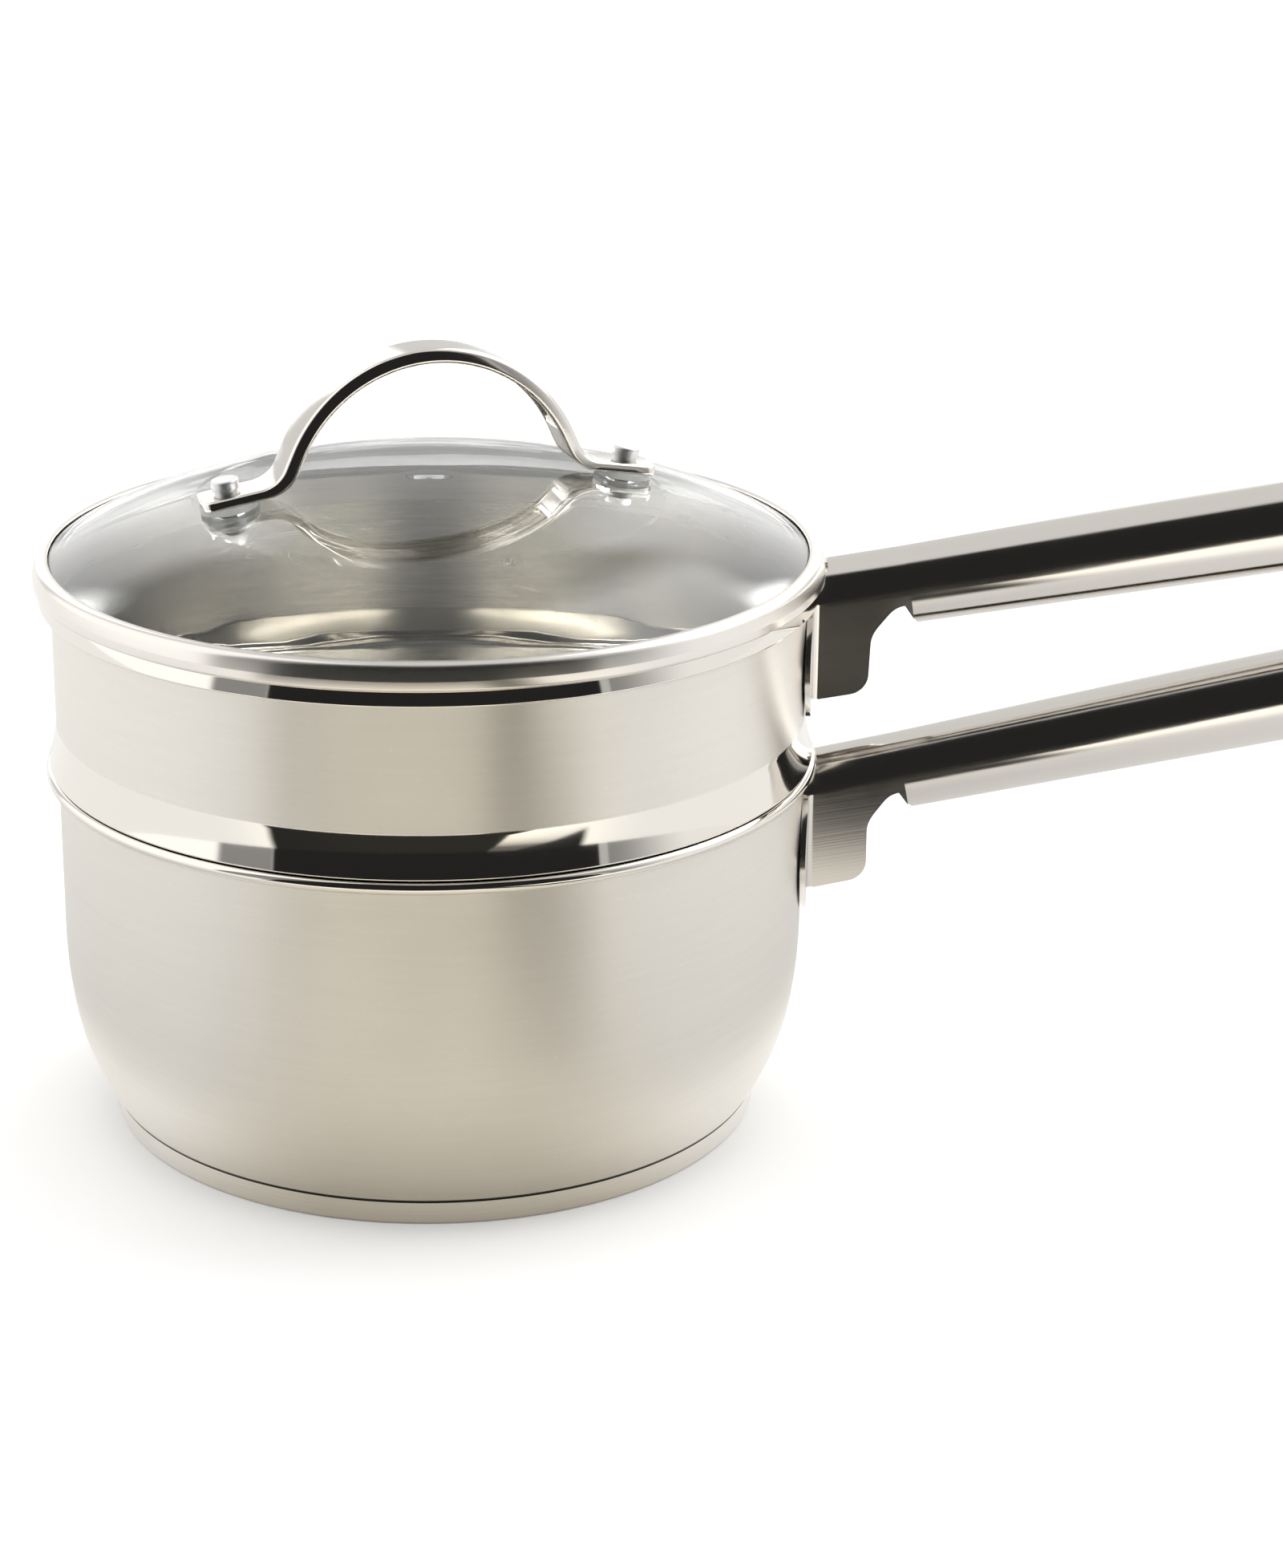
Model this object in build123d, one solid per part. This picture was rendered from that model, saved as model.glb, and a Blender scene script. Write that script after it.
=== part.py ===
"""Stainless double boiler: saucepan, lift-out insert and glass lid. Millimetres, +Z up.

The origin is on the pot's axis at the underside of the base. Both long handles point along +X.
"""
from math import acos, asin, cos, degrees, pi, radians, sin, sqrt, tan
import os

from build123d import *

# saucepan: a drawn bowl with an upright upper wall
pan_wall = 0.8
pan_radius = 88.1
pan_straight_z = 46.8
pan_upper_bend = 115.0
pan_bend_z = 28.6
pan_lower_bend = 60.0
pan_floor_z = 6.0
pan_floor_bend = 5.0
pan_floor_edge = 1.0
pan_rim_radius = 1.5
pan_rim_reach = 2.8
pan_rim_z = 87.6

# three-layer base
base_taper = 0.7
base_skin = 0.6
base_corner = 1.4

# insert: its step sits on the saucepan's rim
insert_wall = 0.7
insert_seat_inset = 0.7
insert_flare = 2.0
insert_flare_height = 10.0
insert_flare_tilt = 6.5
insert_flare_bend = 9.0
seat_gap = 0.3
insert_seat_edge = 0.35
insert_fold = 0.8
insert_bowl_gap = 1.0
insert_bowl_taper = 3.3
insert_bowl_depth = 45.9
insert_floor_bend = 20.0
insert_rim_radius = 1.6
insert_rim_reach = 2.7
insert_height = 43.1

# lid band and glass
band_overhang = 1.6
band_taper = 1.2
band_sheet = 0.6
band_height = 5.9
band_low_roll = 1.6
band_top_roll = 2.0
band_lip = 2.9
band_skirt_gap = 0.7
band_skirt_depth = 6.7
glass = 4.0
glass_lip_gap = 0.04
glass_edge_gap = 0.9
glass_crown = 300.0
glass_crown_width = 55.0
glass_shoulder = 110.0

# lid handle: a strap across the dome, turned from the line of the long handles
strap_turn = 16.1
strap_width = 12.4
strap_arch_sink = 6.1
strap_arch_out = 37.0
strap_depth = 3.2
strap_leg_angle = 66.0
strap_sheet = 1.4
strap_slot = 8.0
strap_slot_angle = 60.0
strap_tab = 2.15
strap_tab_reach = 6.2
strap_heel = 7.0
strap_edge = 1.1
strap_corner = 2.2

# rivets, seals and washers through the glass
rivet_inset = 0.9
rivet_shank = 2.75
rivet_spigot = 1.6
rivet_spigot_height = 1.4
rivet_waist = 0.9
rivet_cap = 3.2
rivet_cap_height = 2.3
rivet_cap_edge = 0.6
rivet_foot = 4.6
rivet_foot_height = 1.2
rivet_foot_edge = 0.5
rivet_fit = 0.1
seal_radius = 6.7
seal_height = 1.6
seal_collar = 4.0
seal_gap = 0.1
lower_seal_height = 1.2
backing_radius = 6.0
backing_height = 0.8

# long handles, both from one pressing
handle_sheet = 1.2
handle_stand = 11.9
handle_neck = 9.2
handle_neck_start = 20.0
handle_cone_start = 12.0
handle_grip = 11.1
handle_grip_end = 118.0
handle_press_start = 146.0
handle_press_half = 12.5
handle_press_gap = 0.3
handle_tip = 162.0
handle_tongue_edge = 0.9
handle_cheek_drop = 21.75
handle_cheek_corner = 5.0
handle_cheek_foot = -1.0
handle_waist = 1.2
handle_waist_drop = 10.4
handle_curve = 5.2
handle_curve_drop = 4.9
handle_notch = 10.3
handle_notch_drop = 2.3
handle_mouth = 13.8
handle_mouth_drop = 9.65
handle_seam = 0.5
hang_hole = 4.5
hang_hole_from_tip = 9.5

# welded flanges of the long handles
flange_bend = 1.6
flange_curve = 110.0
flange_half = 21.0
flange_root = 11.5
flange_tip = 14.0
weld_gap = 0.15
rim_gap = 0.5

saucepan_handle_tilt = 11.2
saucepan_handle_drop = 10.1
saucepan_flange_drop = 10.6
saucepan_flange_height = 27.0
insert_handle_tilt = 8.7
insert_handle_drop = 6.7
insert_flange_drop = 7.0
insert_flange_height = 25.6

overrun = 5.0
round_share = sqrt(1 / 2)
flat_share = 0.95
press_shares = (0, 0.25, 0.5, 0.75, 1)

pan_inner = pan_radius - pan_wall
pan_rim_out = pan_radius + pan_rim_reach
pan_turn = asin((pan_straight_z - pan_bend_z) / pan_upper_bend)
pan_upper_r = pan_radius - pan_upper_bend
pan_lower_r = pan_upper_r + (pan_upper_bend - pan_lower_bend) * cos(pan_turn)
pan_lower_z = pan_bend_z + pan_lower_bend * sin(pan_turn)
base_top_radius = pan_lower_r + sqrt(pan_lower_bend ** 2 - (pan_lower_z - pan_floor_z) ** 2)
base_bottom_radius = base_top_radius - base_taper

seat_z = pan_rim_z + seat_gap
insert_seat_radius = pan_rim_out - insert_seat_inset
insert_radius = insert_seat_radius - insert_flare
insert_inner = insert_radius - insert_wall
insert_flare_z = seat_z + insert_flare_height
insert_rim_out = insert_radius + insert_rim_reach
insert_rim_z = seat_z + insert_height
insert_floor_z = seat_z - insert_bowl_depth
neck_radius = pan_inner - insert_bowl_gap
insert_bowl_base_radius = neck_radius - insert_bowl_taper

band_seat_z = insert_rim_z + seat_gap
band_top_z = band_seat_z + band_height
band_out = insert_rim_out + band_overhang
band_top_out = band_out - band_taper
band_lip_radius = band_top_out - band_lip
band_lip_z = band_top_z - band_sheet
glass_radius = band_top_out - band_sheet - glass_edge_gap
crown_tilt = asin(glass_crown_width / glass_crown)
shoulder_r = glass_crown_width - glass_shoulder * sin(crown_tilt)
shoulder_drop = glass_crown - (glass_crown - glass_shoulder) * cos(crown_tilt)
lip_rise = sqrt(glass_shoulder ** 2 - (band_lip_radius - shoulder_r) ** 2)
glass_apex_z = band_lip_z - glass_lip_gap - lip_rise + shoulder_drop

strap_arch_z = glass_apex_z - strap_arch_sink
tab_top = seal_height + strap_tab
cap_base = tab_top + rivet_waist
rivet_place = glass_crown_width - seal_radius - rivet_inset
rivet_tilt = asin(rivet_place / glass_crown)

handle_datum = pan_radius + handle_stand
saucepan_handle_z = pan_rim_z - saucepan_handle_drop
saucepan_flange_high = pan_rim_z - saucepan_flange_drop
saucepan_flange_low = saucepan_flange_high - saucepan_flange_height
insert_handle_z = insert_rim_z - insert_handle_drop
insert_flange_high = insert_rim_z - insert_flange_drop
insert_flange_low = insert_flange_high - insert_flange_height


def at(r, z):
    """A point of a side view: r from the axis, z up."""
    return (r, 0, z)


def turned(edges):
    """Turn a closed side view about the pot's axis."""
    return revolve(make_face(edges), Axis.Z)


def disc(radius, z_low, z_high):
    """A plain disc between two heights."""
    return Pos(0, 0, z_low) * Cylinder(radius, z_high - z_low, align=(Align.CENTER, Align.CENTER, Align.MIN))


def near(shape, point):
    """The corner of a side view that lies nearest to a point (r, z)."""
    return min(shape.vertices(), key=lambda v: (v.X - point[0]) ** 2 + (v.Z - point[1]) ** 2)


def rolled_rim(wall_in, rim_out, radius, top):
    """Rolled rim: a round edge bent outwards from the top of a wall."""
    centre = rim_out - radius
    middle = top - radius
    roll = turned([
        ThreePointArc(at(centre, top), at(rim_out, middle), at(centre, middle - radius)),
        ThreePointArc(at(centre, middle - radius), at(centre - radius, middle), at(centre, top)),
    ])
    shoulder = at(centre - (centre - wall_in) * round_share, middle + radius * round_share)
    bend = turned([
        Line(at(wall_in, middle), at(centre, middle)),
        Line(at(centre, middle), at(centre, top)),
        ThreePointArc(at(centre, top), shoulder, at(wall_in, middle)),
    ])
    return roll + bend


def pan_shape(offset, top):
    """The saucepan's filled shape, moved inwards by offset."""
    floor = pan_floor_z + offset
    small = pan_lower_bend - offset
    large = pan_upper_bend - offset
    foot_turn = asin((pan_lower_z - floor) / small)
    mid_turn = (pan_turn + foot_turn) / 2
    foot = at(pan_lower_r + small * cos(foot_turn), floor)
    mid = at(pan_lower_r + small * cos(mid_turn), pan_lower_z - small * sin(mid_turn))
    joint = at(pan_lower_r + small * cos(pan_turn), pan_lower_z - small * sin(pan_turn))
    high = at(pan_upper_r + large * cos(pan_turn / 2), pan_straight_z - large * sin(pan_turn / 2))
    shoulder = at(pan_radius - offset, pan_straight_z)
    face = make_face([
        Line(at(0, floor), foot),
        ThreePointArc(foot, mid, joint),
        ThreePointArc(joint, high, shoulder),
        Line(shoulder, at(pan_radius - offset, top)),
        Line(at(pan_radius - offset, top), at(0, top)),
        Line(at(0, top), at(0, floor)),
    ])
    bend = pan_floor_bend if offset else pan_floor_edge
    return revolve(fillet(near(face, (foot[0], floor)), bend), Axis.Z)


def make_saucepan_body():
    """Drawn steel pot with a curved lower wall and a rolled rim."""
    top = pan_rim_z - pan_rim_radius
    wall = pan_shape(0, top) - pan_shape(pan_wall, top)
    return wall + rolled_rim(pan_inner, pan_rim_out, pan_rim_radius, pan_rim_z)


def base_shape(offset):
    """The base's filled shape, moved inwards by offset, up to the pot's underside."""
    low = at(base_bottom_radius - offset, offset)
    high = at(base_top_radius - offset, pan_floor_z)
    face = make_face([
        Line(at(0, offset), low),
        Line(low, high),
        Line(high, at(0, pan_floor_z)),
        Line(at(0, pan_floor_z), at(0, offset)),
    ])
    return revolve(fillet(near(face, (low[0], low[2])), base_corner - offset), Axis.Z)


def make_base_core():
    """Aluminium heat disc between the pot's floor and the steel cup."""
    return base_shape(base_skin)


def make_base_capsule():
    """Steel cup pressed over the aluminium disc."""
    return base_shape(0) - base_shape(base_skin)


def insert_shape(offset, top):
    """The insert's filled shape, moved inwards by offset: bowl, step, flare and wall."""
    tilt = radians(insert_flare_tilt)
    chord = sqrt(insert_flare_height ** 2 + insert_flare ** 2)
    curve = chord / (2 * sin(asin(insert_flare / chord) - tilt))
    centre_r = insert_radius + curve * cos(tilt)
    centre_z = insert_flare_z + curve * sin(tilt)
    flare = curve + offset
    fold = seat_z + offset
    floor = insert_floor_z + offset
    start_turn = acos((curve * cos(tilt) + offset) / flare)
    end_turn = asin((centre_z - fold) / flare)
    mid_turn = (start_turn + end_turn) / 2
    base = (insert_bowl_base_radius - offset, floor)
    neck = (neck_radius - offset, fold)
    edge = (centre_r - flare * cos(end_turn), fold)
    middle = at(centre_r - flare * cos(mid_turn), centre_z - flare * sin(mid_turn))
    start = (insert_radius - offset, centre_z - flare * sin(start_turn))
    face = make_face([
        Line(at(0, floor), at(*base)),
        Line(at(*base), at(*neck)),
        Line(at(*neck), at(*edge)),
        ThreePointArc(at(*edge), middle, at(*start)),
        Line(at(*start), at(insert_radius - offset, top)),
        Line(at(insert_radius - offset, top), at(0, top)),
        Line(at(0, top), at(0, floor)),
    ])
    face = fillet(near(face, base), insert_floor_bend - offset)
    face = fillet(near(face, neck), insert_fold + offset)
    face = fillet(near(face, start), insert_flare_bend + offset)
    if not offset:
        face = fillet(near(face, edge), insert_seat_edge)
    return revolve(face, Axis.Z)


def make_insert_body():
    """Upper pot: its step sits on the saucepan's rim and its bowl hangs inside."""
    top = insert_rim_z - insert_rim_radius
    wall = insert_shape(0, top) - insert_shape(insert_wall, top)
    return wall + rolled_rim(insert_inner, insert_rim_out, insert_rim_radius, insert_rim_z)


def dome(offset, z_low):
    """The glass's filled dome: a wide crown that runs into a tighter shoulder."""
    crown_z = glass_apex_z - glass_crown
    crown = glass_crown - offset
    shoulder = glass_shoulder - offset
    shoulder_z = glass_apex_z - shoulder_drop
    edge_tilt = asin((glass_radius - shoulder_r) / shoulder)
    half = (crown_tilt + edge_tilt) / 2
    joint = at(crown * sin(crown_tilt), crown_z + crown * cos(crown_tilt))
    edge = at(glass_radius, shoulder_z + shoulder * cos(edge_tilt))
    crown_mid = at(crown * sin(crown_tilt / 2), crown_z + crown * cos(crown_tilt / 2))
    shoulder_mid = at(shoulder_r + shoulder * sin(half), shoulder_z + shoulder * cos(half))
    return turned([
        ThreePointArc(at(0, crown_z + crown), crown_mid, joint),
        ThreePointArc(joint, shoulder_mid, edge),
        Line(edge, at(glass_radius, z_low)),
        Line(at(glass_radius, z_low), at(0, z_low)),
        Line(at(0, z_low), at(0, crown_z + crown)),
    ])


def on_rivet(side, height):
    """Place on one rivet's line, square to the glass, a height above its surface."""
    reach = glass_crown + height
    foot = glass_apex_z - glass_crown
    spot = Pos(side * reach * sin(rivet_tilt), 0, foot + reach * cos(rivet_tilt))
    return Rot(0, 0, strap_turn) * spot * Rot(0, side * degrees(rivet_tilt), 0)


def post(side, radius, low, high):
    """A round piece on a rivet's line, between two heights above the glass."""
    return on_rivet(side, low) * Cylinder(radius, high - low, align=(Align.CENTER, Align.CENTER, Align.MIN))


def edges_at(side, shape, height):
    """The edges of a piece on a rivet's line that lie at one height above the glass."""
    place = on_rivet(side, height)
    plane = Plane(place)
    return [e for e in shape.edges() if abs(plane.to_local_coords(e.center()).Z) < rivet_fit / 2]


def make_lid_glass():
    """Tempered glass dome with two drilled holes, flat under its edge."""
    seat = band_seat_z + band_sheet
    pane = dome(0, seat) - dome(glass, seat - overrun)
    for side in (-1, 1):
        pane -= post(side, seal_collar + rivet_fit, -glass - overrun, overrun)
    return pane


def make_lid_band():
    """Steel band rolled round the glass, with a flange under it and a skirt."""
    skirt_r = insert_inner - band_skirt_gap
    skirt_in = skirt_r - band_sheet
    skirt_z = band_seat_z - band_skirt_depth
    flange_z = band_seat_z + band_sheet
    low_out = (band_out, band_seat_z)
    top_out = (band_top_out, band_top_z)
    low_in = (band_out - band_sheet, flange_z)
    top_in = (band_top_out - band_sheet, band_lip_z)
    outline = [
        (skirt_in, skirt_z), (skirt_r, skirt_z), (skirt_r, band_seat_z), low_out, top_out,
        (band_lip_radius, band_top_z), (band_lip_radius, band_lip_z), top_in, low_in, (skirt_in, flange_z),
    ]
    face = make_face([Line(at(*a), at(*b)) for a, b in zip(outline, outline[1:] + outline[:1])])
    face = fillet(near(face, low_out), band_low_roll)
    face = fillet(near(face, top_out), band_top_roll)
    face = fillet(near(face, low_in), band_low_roll - band_sheet)
    face = fillet(near(face, top_in), band_top_roll - band_sheet)
    return revolve(face, Axis.Z)


def strap_path(arch, height):
    """One long side of half the strap, from the apex down the leg and out along the tab."""
    lean = radians(strap_leg_angle)
    foot = glass_apex_z - glass_crown
    reach = glass_crown + height
    tab = (reach * sin(rivet_tilt), foot + reach * cos(rivet_tilt))
    start = (arch * sin(lean), strap_arch_z + arch * cos(lean))
    cross = sin(lean) * cos(rivet_tilt) - cos(lean) * sin(rivet_tilt)
    step = ((start[1] - tab[1]) * cos(rivet_tilt) + (start[0] - tab[0]) * sin(rivet_tilt)) / cross
    heel = (start[0] + step * cos(lean), start[1] - step * sin(lean))
    end = (tab[0] + strap_tab_reach * cos(rivet_tilt), tab[1] - strap_tab_reach * sin(rivet_tilt))
    middle = at(arch * sin(lean / 2), strap_arch_z + arch * cos(lean / 2))
    bend = strap_heel + tab_top - height
    return [
        ThreePointArc(at(0, strap_arch_z + arch), middle, at(*start)),
        *FilletPolyline(at(*start), at(*heel), at(*end), radius=bend).edges(),
    ], end


def make_lid_handle():
    """Arched steel strap with turned-down edges and a flat tab at each end."""
    outer, outer_end = strap_path(strap_arch_out, tab_top)
    inner, inner_end = strap_path(strap_arch_out - strap_depth, seal_height)
    apex = strap_arch_z + strap_arch_out
    face = make_face([
        *outer,
        *inner,
        Line(at(*outer_end), at(*inner_end)),
        Line(at(0, apex - strap_depth), at(0, apex)),
    ])
    half = extrude(face, strap_width / 2, both=True)
    upright = [
        e for e in half.edges()
        if abs(e.center().Y) > strap_width / 2 - strap_edge and e.center().X > inner_end[0]
        and e.length < 2 * strap_tab
    ]
    half = fillet(upright, strap_corner)
    top_side = Curve() + outer
    crown = [
        e for e in half.edges()
        if abs(e.center().Y) > strap_width / 4
        and top_side.distance_to(Vector(e.center().X, 0, e.center().Z)) < rivet_fit
        and abs((e @ 0).Y) > strap_width / 4 and abs((e @ 1).Y) > strap_width / 4
    ]
    half = fillet(crown, strap_edge)
    slot_out = strap_arch_out - strap_sheet
    slot_in = strap_arch_out - strap_depth - overrun
    turn = radians(strap_slot_angle)
    rim = [at(r * sin(turn), strap_arch_z + r * cos(turn)) for r in (slot_out, slot_in)]
    slot = extrude(make_face([
        ThreePointArc(at(-rim[0][0], rim[0][2]), at(0, strap_arch_z + slot_out), rim[0]),
        Line(rim[0], rim[1]),
        ThreePointArc(rim[1], at(0, strap_arch_z + slot_in), at(-rim[1][0], rim[1][2])),
        Line(at(-rim[1][0], rim[1][2]), at(-rim[0][0], rim[0][2])),
    ]), strap_slot / 2, both=True)
    strap = Rot(0, 0, strap_turn) * (half + mirror(half, Plane.YZ) - slot)
    for side in (-1, 1):
        strap -= post(side, rivet_shank + rivet_fit, seal_height - overrun, tab_top + overrun)
    return strap


def make_upper_washer(side):
    """Soft washer under the strap's tab, with a collar that lines the hole in the glass."""
    washer = post(side, seal_radius, 0, seal_height) + post(side, seal_collar, seal_gap - glass, 0)
    return washer - post(side, rivet_shank + rivet_fit, -glass - overrun, overrun)


def make_lower_washer(side):
    """Soft washer under the glass."""
    top = -glass - seal_gap
    washer = post(side, seal_radius, top - lower_seal_height, top)
    return washer - post(side, rivet_shank + rivet_fit, top - overrun, top + overrun)


def make_backing_washer(side):
    """Steel washer that spreads the rivet's load under the soft one."""
    top = -glass - seal_gap - lower_seal_height
    washer = post(side, backing_radius, top - backing_height, top)
    return washer - post(side, rivet_shank + rivet_fit, top - overrun, top + overrun)


def make_rivet_pin(side):
    """Aluminium pin with a wide foot under the glass and a spigot for the cap."""
    top = -glass - seal_gap - lower_seal_height - backing_height
    spigot_top = cap_base + rivet_spigot_height
    foot = post(side, rivet_foot, top - rivet_foot_height, top)
    foot = fillet(edges_at(side, foot, top - rivet_foot_height), rivet_foot_edge)
    return foot + post(side, rivet_shank, top, cap_base) + post(side, rivet_spigot, cap_base, spigot_top)


def make_rivet_cap(side):
    """Round cap pressed on the pin above the strap."""
    cap = post(side, rivet_cap, cap_base, cap_base + rivet_cap_height)
    cap = fillet(edges_at(side, cap, cap_base + rivet_cap_height), rivet_cap_edge)
    bore_top = cap_base + rivet_spigot_height + rivet_fit
    return cap - post(side, rivet_spigot + rivet_fit / 2, cap_base - overrun, bore_top)


def ring_section(x, half_width, half_height, flat):
    """Closed section of the handle's tube: four arcs, from round (flat 0) to flat (flat 1)."""
    rise = half_height * (round_share + (flat_share - round_share) * flat)
    corner = half_width - half_height * ((1 - round_share) * (1 - flat) + flat_share * flat)
    points = [(corner, rise), (0, half_height), (-corner, rise), (-half_width, 0)]
    points += [(-corner, -rise), (0, -half_height), (corner, -rise), (half_width, 0), (corner, rise)]
    ring = [(x, y, z) for y, z in points]
    return make_face([ThreePointArc(*ring[i:i + 3]) for i in range(0, len(ring) - 1, 2)])


def tube(offset):
    """The handle's round grip, a slow taper that flattens towards the end."""
    neck = handle_neck - offset
    grip = handle_grip - offset
    cone = loft([
        ring_section(handle_cone_start - handle_sheet * 3, neck, neck, 0),
        ring_section(handle_cone_start, neck, neck, 0),
        ring_section(handle_grip_end, grip, grip, 0),
    ], ruled=True)
    pressed = []
    for share in press_shares:
        blend = (1 - cos(pi * share)) / 2
        x = handle_grip_end + (handle_press_start - handle_grip_end) * share
        width = handle_grip + (handle_press_half - handle_grip) * blend - offset
        height = handle_grip + (handle_sheet - handle_grip) * blend - offset
        pressed.append(ring_section(x, width, max(height, handle_press_gap / 2), blend))
    return cone + loft(pressed)


def neck(offset, depth):
    """The handle's neck: a half-round top over two straight cheeks."""
    r = handle_neck - offset
    x = -handle_neck_start
    face = make_face([
        ThreePointArc((x, -r, 0), (x, 0, r), (x, r, 0)),
        Line((x, r, 0), (x, r, -depth)),
        Line((x, r, -depth), (x, -r, -depth)),
        Line((x, -r, -depth), (x, -r, 0)),
    ])
    return extrude(face, handle_cone_start - x, dir=(1, 0, 0))


def tongue():
    """Flat end of the handle, both layers pressed together, with a round tip."""
    turn_x = handle_tip - handle_press_half
    near_x = handle_press_start
    half = handle_press_half
    face = make_face([
        Line((near_x, -half, 0), (turn_x, -half, 0)),
        ThreePointArc((turn_x, -half, 0), (handle_tip, 0, 0), (turn_x, half, 0)),
        Line((turn_x, half, 0), (near_x, half, 0)),
        Line((near_x, half, 0), (near_x, -half, 0)),
    ])
    plate = extrude(face, handle_sheet, both=True)
    rims = [
        e for e in plate.edges()
        if e.center().X > near_x + handle_sheet and abs(e.center().Z) > handle_sheet / 2
    ]
    return fillet(rims, handle_tongue_edge)


def notch():
    """What is cut away under the handle between the cheeks and the tube's slanted mouth."""
    low = -handle_cheek_drop - overrun
    slant = (handle_mouth - handle_notch) / (handle_mouth_drop - handle_notch_drop)
    mouth_foot = (handle_notch + slant * (-low - handle_notch_drop), low)
    foot = (handle_cheek_foot, -handle_cheek_drop)
    waist = (handle_waist, -handle_waist_drop)
    apex = (handle_notch, -handle_notch_drop)
    rise = (handle_waist - handle_cheek_foot, 0, handle_cheek_drop - handle_waist_drop)
    back = (-handle_neck_start - overrun, -handle_cheek_drop)
    curve = at(handle_curve, -handle_curve_drop)
    face = make_face([
        Line(at(*back), at(*foot)),
        Line(at(*foot), at(*waist)),
        Spline(at(*waist), curve, at(*apex), tangents=[rise, (1, 0, 0)]),
        Line(at(*apex), at(*mouth_foot)),
        Line(at(*mouth_foot), at(back[0], low)),
        Line(at(back[0], low), at(*back)),
    ])
    face = fillet(near(face, foot), handle_cheek_corner)
    return extrude(face, handle_grip + overrun, both=True)


def flange_plates(wall_r, tilt, datum_z, low, high):
    """Both flanges with their bends, curved plates that lie on the pot's wall.

    Gives the plates and where the cheeks' bends end.
    """
    outer = flange_curve + handle_sheet
    centre = sqrt(wall_r ** 2 - handle_neck ** 2) + weld_gap - sqrt(flange_curve ** 2 - handle_neck ** 2)
    cheek_in = handle_neck - handle_sheet
    end = flange_half + overrun
    middle = (cheek_in + end) / 2

    def on_curve(radius, y):
        return (centre + sqrt(radius ** 2 - y ** 2), y)

    inner_corner = on_curve(flange_curve, cheek_in)
    outer_corner = on_curve(outer, handle_neck)
    bend_end = outer_corner[0] + flange_bend
    stub = bend_end + handle_sheet
    face = make_face([
        Line((stub, cheek_in), inner_corner),
        ThreePointArc(inner_corner, on_curve(flange_curve, middle), on_curve(flange_curve, end)),
        Line(on_curve(flange_curve, end), on_curve(outer, end)),
        ThreePointArc(on_curve(outer, end), on_curve(outer, middle), outer_corner),
        Line(outer_corner, (stub, handle_neck)),
        Line((stub, handle_neck), (stub, cheek_in)),
    ])
    for corner, bend in ((inner_corner, flange_bend + handle_sheet), (outer_corner, flange_bend)):
        at_corner = min(face.vertices(), key=lambda v: abs(v.X - corner[0]) + abs(v.Y - corner[1]))
        face = fillet(at_corner, bend)
    plate = Pos(0, 0, low) * extrude(face, high - low, dir=(0, 0, 1))
    foot_z = datum_z + (stub - handle_datum) * tan(radians(tilt)) - handle_cheek_drop / cos(radians(tilt))
    x = wall_r / 2
    ear = make_face([
        Line((x, 0, foot_z), (x, flange_root, foot_z)),
        Line((x, flange_root, foot_z), (x, flange_tip, low)),
        ThreePointArc((x, flange_tip, low), (x, flange_half, (low + high) / 2), (x, flange_root, high)),
        Line((x, flange_root, high), (x, 0, high)),
        Line((x, 0, high), (x, 0, foot_z)),
    ])
    plate = plate & extrude(ear, wall_r, dir=(1, 0, 0))
    return plate + mirror(plate, Plane.XZ), bend_end


def make_long_handle(wall_r, tilt, datum_z, low, high, rims):
    """One-piece handle: welded flanges, open neck, seamed tube and flat end with a hole.

    rims lists what the neck stays clear of, as (radius, lowest height).
    """
    depth = handle_cheek_drop + overrun / 2
    grip = neck(0, depth) + tube(0) + tongue()
    grip -= neck(handle_sheet, depth + overrun)
    grip -= tube(handle_sheet)
    grip -= notch()
    seam_length = handle_press_start - handle_notch
    seam = Box(seam_length, handle_seam, handle_grip + overrun, align=(Align.MIN, Align.CENTER, Align.MAX))
    grip -= Pos(handle_notch, 0, 0) * seam
    grip -= Pos(handle_tip - hang_hole_from_tip, 0, 0) * Cylinder(hang_hole, overrun * 2)
    handle = Pos(handle_datum, 0, datum_z) * Rot(0, -tilt, 0) * grip
    top = datum_z + handle_neck + overrun
    handle -= disc(wall_r + weld_gap, low - overrun, top)
    for radius, height in rims:
        handle -= disc(radius + rim_gap, height - rim_gap, top)
    plates, bend_end = flange_plates(wall_r, tilt, datum_z, low, high)
    back = Box(bend_end, 4 * flange_half, 2 * (high - low), align=(Align.MIN, Align.CENTER, Align.MAX))
    return handle - Pos(0, 0, high) * back + plates


def make_saucepan_handle():
    """Lower handle, under the saucepan's rim."""
    rims = [(pan_rim_out, pan_rim_z - 2 * pan_rim_radius)]
    return make_long_handle(pan_radius, saucepan_handle_tilt, saucepan_handle_z,
                            saucepan_flange_low, saucepan_flange_high, rims)


def make_insert_handle():
    """Upper handle, beside the insert's rim and the lid's band."""
    rims = [(insert_rim_out, insert_rim_z - 2 * insert_rim_radius), (band_out, band_seat_z)]
    return make_long_handle(insert_radius, insert_handle_tilt, insert_handle_z,
                            insert_flange_low, insert_flange_high, rims)


nodes = {
    "saucepan_body": make_saucepan_body(),
    "base_core": make_base_core(),
    "base_capsule": make_base_capsule(),
    "saucepan_handle": make_saucepan_handle(),
    "insert_body": make_insert_body(),
    "insert_handle": make_insert_handle(),
    "lid_glass": make_lid_glass(),
    "lid_band": make_lid_band(),
    "lid_handle": make_lid_handle(),
}
for name, side in (("left", -1), ("right", 1)):
    nodes[f"lid_rivet_pin_{name}"] = make_rivet_pin(side)
    nodes[f"lid_rivet_cap_{name}"] = make_rivet_cap(side)
    nodes[f"lid_upper_washer_{name}"] = make_upper_washer(side)
    nodes[f"lid_lower_washer_{name}"] = make_lower_washer(side)
    nodes[f"lid_backing_washer_{name}"] = make_backing_washer(side)

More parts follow.
